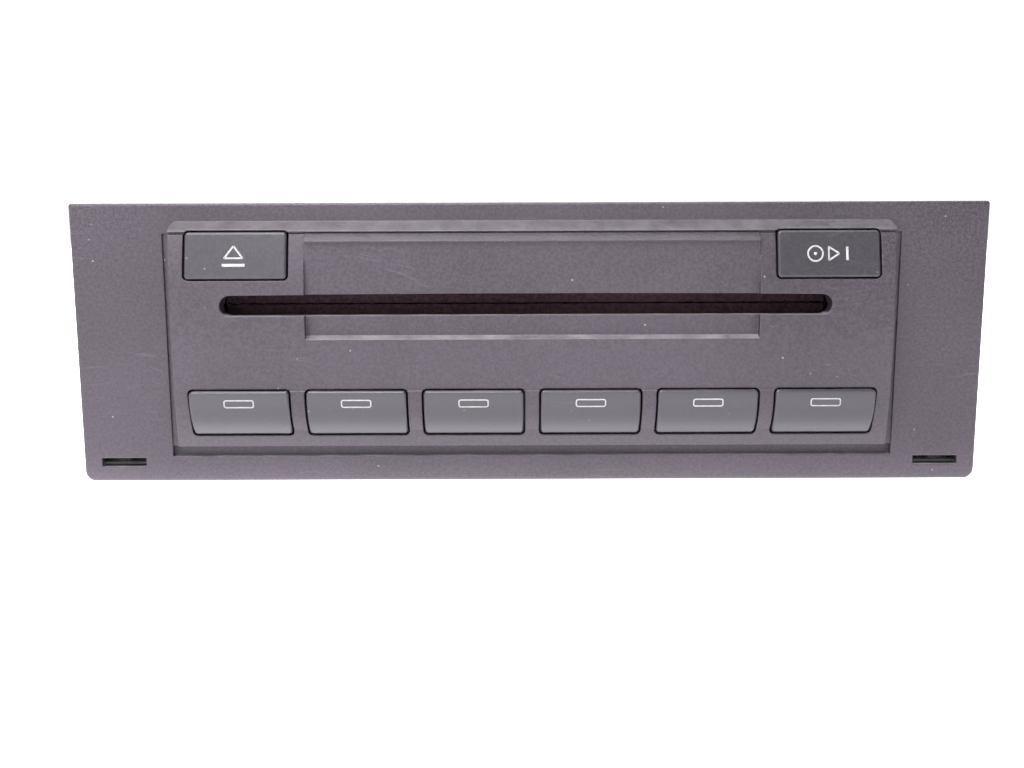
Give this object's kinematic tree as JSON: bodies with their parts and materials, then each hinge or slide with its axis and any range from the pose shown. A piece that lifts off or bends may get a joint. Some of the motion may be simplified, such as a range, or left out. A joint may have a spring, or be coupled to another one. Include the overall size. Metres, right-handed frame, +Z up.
{
  "type": "car cd changer",
  "caption": "In-dash disc changer: sleeve-sized steel chassis behind a moulded grey fascia with a disc slot, a row of disc keys and two upper keys.",
  "frame": {"origin": "middle of the bounding box's base: the fascia's bottom edge is Z = 0", "axes": "+X to the right seen from the front, +Y from the front to the back, +Z up"},
  "size_m": [0.1884, 0.2062, 0.0581],
  "materials": {
    "grained_plastic": "fine moulded grain, dark grey",
    "key_plastic": "fine moulded grain, dark grey",
    "sheet_steel": "zinc-plated sheet",
    "bright_steel": "ground and plated",
    "circuit_board": "green solder resist",
    "component_black": "moulded epoxy",
    "led_lens": "clear lens",
    "felt": "pressed felt",
    "black_rubber": "matte",
    "acetal": "natural, satin",
    "black_plastic": "satin",
    "motor_can": "nickel plated",
    "gold_pin": "plated",
    "lens_glass": "coated",
    "spring_steel": "hardened strip"
  },
  "bodies": {
    "housing": {"front_fascia": "grained_plastic", "key_board": "circuit_board", "key_switches": "component_black", "key_leds": "led_lens", "slot_felts": "felt", "chassis_tray": "sheet_steel", "top_cover": "sheet_steel", "rear_panel": "sheet_steel", "rear_connector": "black_plastic", "connector_pins": "gold_pin", "rear_stud": "bright_steel", "main_board": "circuit_board", "main_board_parts": "component_black", "mechanism_dampers": "black_rubber", "mechanism_base": "sheet_steel", "mechanism_top": "sheet_steel", "disc_guide": "black_plastic", "load_motor": "motor_can", "lift_motor": "motor_can", "deck_pivot": "bright_steel"},
    "eject_key": {"eject_button": "key_plastic"},
    "load_key": {"load_button": "key_plastic"},
    "disc_key_1": {"disc_button_1": "key_plastic"},
    "disc_key_2": {"disc_button_2": "key_plastic"},
    "disc_key_3": {"disc_button_3": "key_plastic"},
    "disc_key_4": {"disc_button_4": "key_plastic"},
    "disc_key_5": {"disc_button_5": "key_plastic"},
    "disc_key_6": {"disc_button_6": "key_plastic"},
    "roller": {"load_roller_shaft": "bright_steel", "load_roller_sleeves": "black_rubber", "roller_gear": "acetal"},
    "idler": {"load_idler": "acetal"},
    "load_drive": {"load_pinion": "acetal"},
    "rack": {"sync_plate": "acetal"},
    "spindle_1": {"lift_spindle_1": "acetal"},
    "spindle_2": {"lift_spindle_2": "acetal"},
    "spindle_3": {"lift_spindle_3": "acetal"},
    "spindle_4": {"lift_spindle_4": "acetal"},
    "lift_drive": {"lift_pinion": "acetal"},
    "tray_1": {"disc_tray_1": "black_plastic"},
    "tray_2": {"disc_tray_2": "black_plastic"},
    "tray_3": {"disc_tray_3": "black_plastic"},
    "tray_4": {"disc_tray_4": "black_plastic"},
    "tray_5": {"disc_tray_5": "black_plastic"},
    "tray_6": {"disc_tray_6": "black_plastic"},
    "deck": {"playback_deck": "black_plastic", "spindle_motor": "motor_can", "guide_rods": "bright_steel", "sled_motor": "motor_can"},
    "table": {"turntable": "black_plastic"},
    "clamp": {"clamp_arm": "bright_steel"},
    "puck": {"clamp_puck": "black_plastic"},
    "sled": {"pickup": "black_plastic", "pickup_lens": "lens_glass"},
    "screw": {"lead_screw": "bright_steel"},
    "latch_left": {"latch_spring_left": "spring_steel"},
    "latch_right": {"latch_spring_right": "spring_steel"}
  },
  "joints": [
    {"name": "eject_key_press", "type": "slide", "parent": "housing", "child": "eject_key", "axis": [0, 1, 0], "range_m": [0, 0.0008], "stiffness_N_per_m": 600},
    {"name": "load_key_press", "type": "slide", "parent": "housing", "child": "load_key", "axis": [0, 1, 0], "range_m": [0, 0.0008], "stiffness_N_per_m": 600},
    {"name": "disc_key_1_press", "type": "slide", "parent": "housing", "child": "disc_key_1", "axis": [0, 1, 0], "range_m": [0, 0.0008], "stiffness_N_per_m": 600},
    {"name": "disc_key_2_press", "type": "slide", "parent": "housing", "child": "disc_key_2", "axis": [0, 1, 0], "range_m": [0, 0.0008], "stiffness_N_per_m": 600},
    {"name": "disc_key_3_press", "type": "slide", "parent": "housing", "child": "disc_key_3", "axis": [0, 1, 0], "range_m": [0, 0.0008], "stiffness_N_per_m": 600},
    {"name": "disc_key_4_press", "type": "slide", "parent": "housing", "child": "disc_key_4", "axis": [0, 1, 0], "range_m": [0, 0.0008], "stiffness_N_per_m": 600},
    {"name": "disc_key_5_press", "type": "slide", "parent": "housing", "child": "disc_key_5", "axis": [0, 1, 0], "range_m": [0, 0.0008], "stiffness_N_per_m": 600},
    {"name": "disc_key_6_press", "type": "slide", "parent": "housing", "child": "disc_key_6", "axis": [0, 1, 0], "range_m": [0, 0.0008], "stiffness_N_per_m": 600},
    {"name": "roller_spin", "type": "hinge", "parent": "housing", "child": "roller", "pos_m": [0, -0.0809, 0.033], "axis": [1, 0, 0], "continuous": true},
    {"name": "idler_spin", "type": "hinge", "parent": "housing", "child": "idler", "pos_m": [0.0795, -0.0809, 0.02275], "axis": [1, 0, 0], "continuous": true},
    {"name": "load_drive_spin", "type": "hinge", "parent": "housing", "child": "load_drive", "pos_m": [0.0795, -0.07245, 0.02275], "axis": [1, 0, 0], "continuous": true},
    {"name": "sync_slide", "type": "slide", "parent": "housing", "child": "rack", "axis": [0, 1, 0], "range_m": [-0.012, 0]},
    {"name": "spindle_1_spin", "type": "hinge", "parent": "housing", "child": "spindle_1", "pos_m": [-0.076, -0.0269, 0.03], "axis": [0, 0, 1], "range_deg": [-115, 0]},
    {"name": "spindle_2_spin", "type": "hinge", "parent": "housing", "child": "spindle_2", "pos_m": [-0.076, 0.0691, 0.03], "axis": [0, 0, 1], "range_deg": [-115, 0]},
    {"name": "spindle_3_spin", "type": "hinge", "parent": "housing", "child": "spindle_3", "pos_m": [0.076, -0.0269, 0.03], "axis": [0, 0, 1], "range_deg": [0, 115]},
    {"name": "spindle_4_spin", "type": "hinge", "parent": "housing", "child": "spindle_4", "pos_m": [0.076, 0.0691, 0.03], "axis": [0, 0, 1], "range_deg": [0, 115]},
    {"name": "lift_drive_spin", "type": "hinge", "parent": "housing", "child": "lift_drive", "pos_m": [0.076, 0.0461, 0.017], "axis": [0, 0, 1], "range_deg": [0, 115]},
    {"name": "tray_1_lift", "type": "slide", "parent": "housing", "child": "tray_1", "axis": [0, 0, 1], "range_m": [0, 0.003]},
    {"name": "tray_2_lift", "type": "slide", "parent": "housing", "child": "tray_2", "axis": [0, 0, 1], "range_m": [0, 0.003]},
    {"name": "tray_3_lift", "type": "slide", "parent": "housing", "child": "tray_3", "axis": [0, 0, 1], "range_m": [-0.0083, 0]},
    {"name": "tray_4_lift", "type": "slide", "parent": "housing", "child": "tray_4", "axis": [0, 0, 1], "range_m": [-0.0129, 0]},
    {"name": "tray_5_lift", "type": "slide", "parent": "housing", "child": "tray_5", "axis": [0, 0, 1], "range_m": [-0.0129, 0]},
    {"name": "tray_6_lift", "type": "slide", "parent": "housing", "child": "tray_6", "axis": [0, 0, 1], "range_m": [-0.0129, 0]},
    {"name": "deck_swing", "type": "hinge", "parent": "housing", "child": "deck", "pos_m": [0.078, -0.0549, 0.0294], "axis": [0, 0, -1], "range_deg": [0, 45]},
    {"name": "turntable_spin", "type": "hinge", "parent": "deck", "child": "table", "pos_m": [-0.032, -0.0549, 0.035], "axis": [0, 0, 1], "continuous": true},
    {"name": "clamp_tilt", "type": "hinge", "parent": "deck", "child": "clamp", "pos_m": [0.069, -0.0549, 0.0415], "axis": [0, 1, 0], "range_deg": [-0.6, 0]},
    {"name": "puck_spin", "type": "hinge", "parent": "clamp", "child": "puck", "pos_m": [-0.032, -0.0549, 0.039], "axis": [0, 0, 1], "continuous": true},
    {"name": "pickup_slide", "type": "slide", "parent": "deck", "child": "sled", "axis": [1, 0, 0], "range_m": [0, 0.035]},
    {"name": "lead_screw_spin", "type": "hinge", "parent": "deck", "child": "screw", "pos_m": [0, -0.0705, 0.0292], "axis": [1, 0, 0], "range_deg": [0, 2100.5]},
    {"name": "latch_left_flex", "type": "hinge", "parent": "housing", "child": "latch_left", "pos_m": [-0.0812, -0.052, 0.0048], "axis": [0, 0, 1], "range_deg": [0, 3], "stiffness_Nm_per_rad": 0.5},
    {"name": "latch_right_flex", "type": "hinge", "parent": "housing", "child": "latch_right", "pos_m": [0.0812, -0.052, 0.0048], "axis": [0, 0, -1], "range_deg": [0, 3], "stiffness_Nm_per_rad": 0.5}
  ],
  "couplings": [
    {"joint": "idler_spin", "follows": "roller_spin", "ratio": -1.125},
    {"joint": "load_drive_spin", "follows": "roller_spin", "ratio": 1.5},
    {"joint": "spindle_1_spin", "follows": "sync_slide", "rad_per_m": 166.67},
    {"joint": "spindle_2_spin", "follows": "sync_slide", "rad_per_m": 166.67},
    {"joint": "spindle_3_spin", "follows": "sync_slide", "rad_per_m": -166.67},
    {"joint": "spindle_4_spin", "follows": "sync_slide", "rad_per_m": -166.67},
    {"joint": "lift_drive_spin", "follows": "sync_slide", "rad_per_m": -166.67},
    {"joint": "tray_1_lift", "follows": "sync_slide", "ratio": -0.25},
    {"joint": "tray_2_lift", "follows": "sync_slide", "ratio": -0.25},
    {"joint": "tray_3_lift", "follows": "sync_slide", "ratio": 0.69167},
    {"joint": "tray_4_lift", "follows": "sync_slide", "ratio": 1.075},
    {"joint": "tray_5_lift", "follows": "sync_slide", "ratio": 1.075},
    {"joint": "tray_6_lift", "follows": "sync_slide", "ratio": 1.075},
    {"joint": "lead_screw_spin", "follows": "pickup_slide", "rad_per_m": 1047.2}
  ]
}
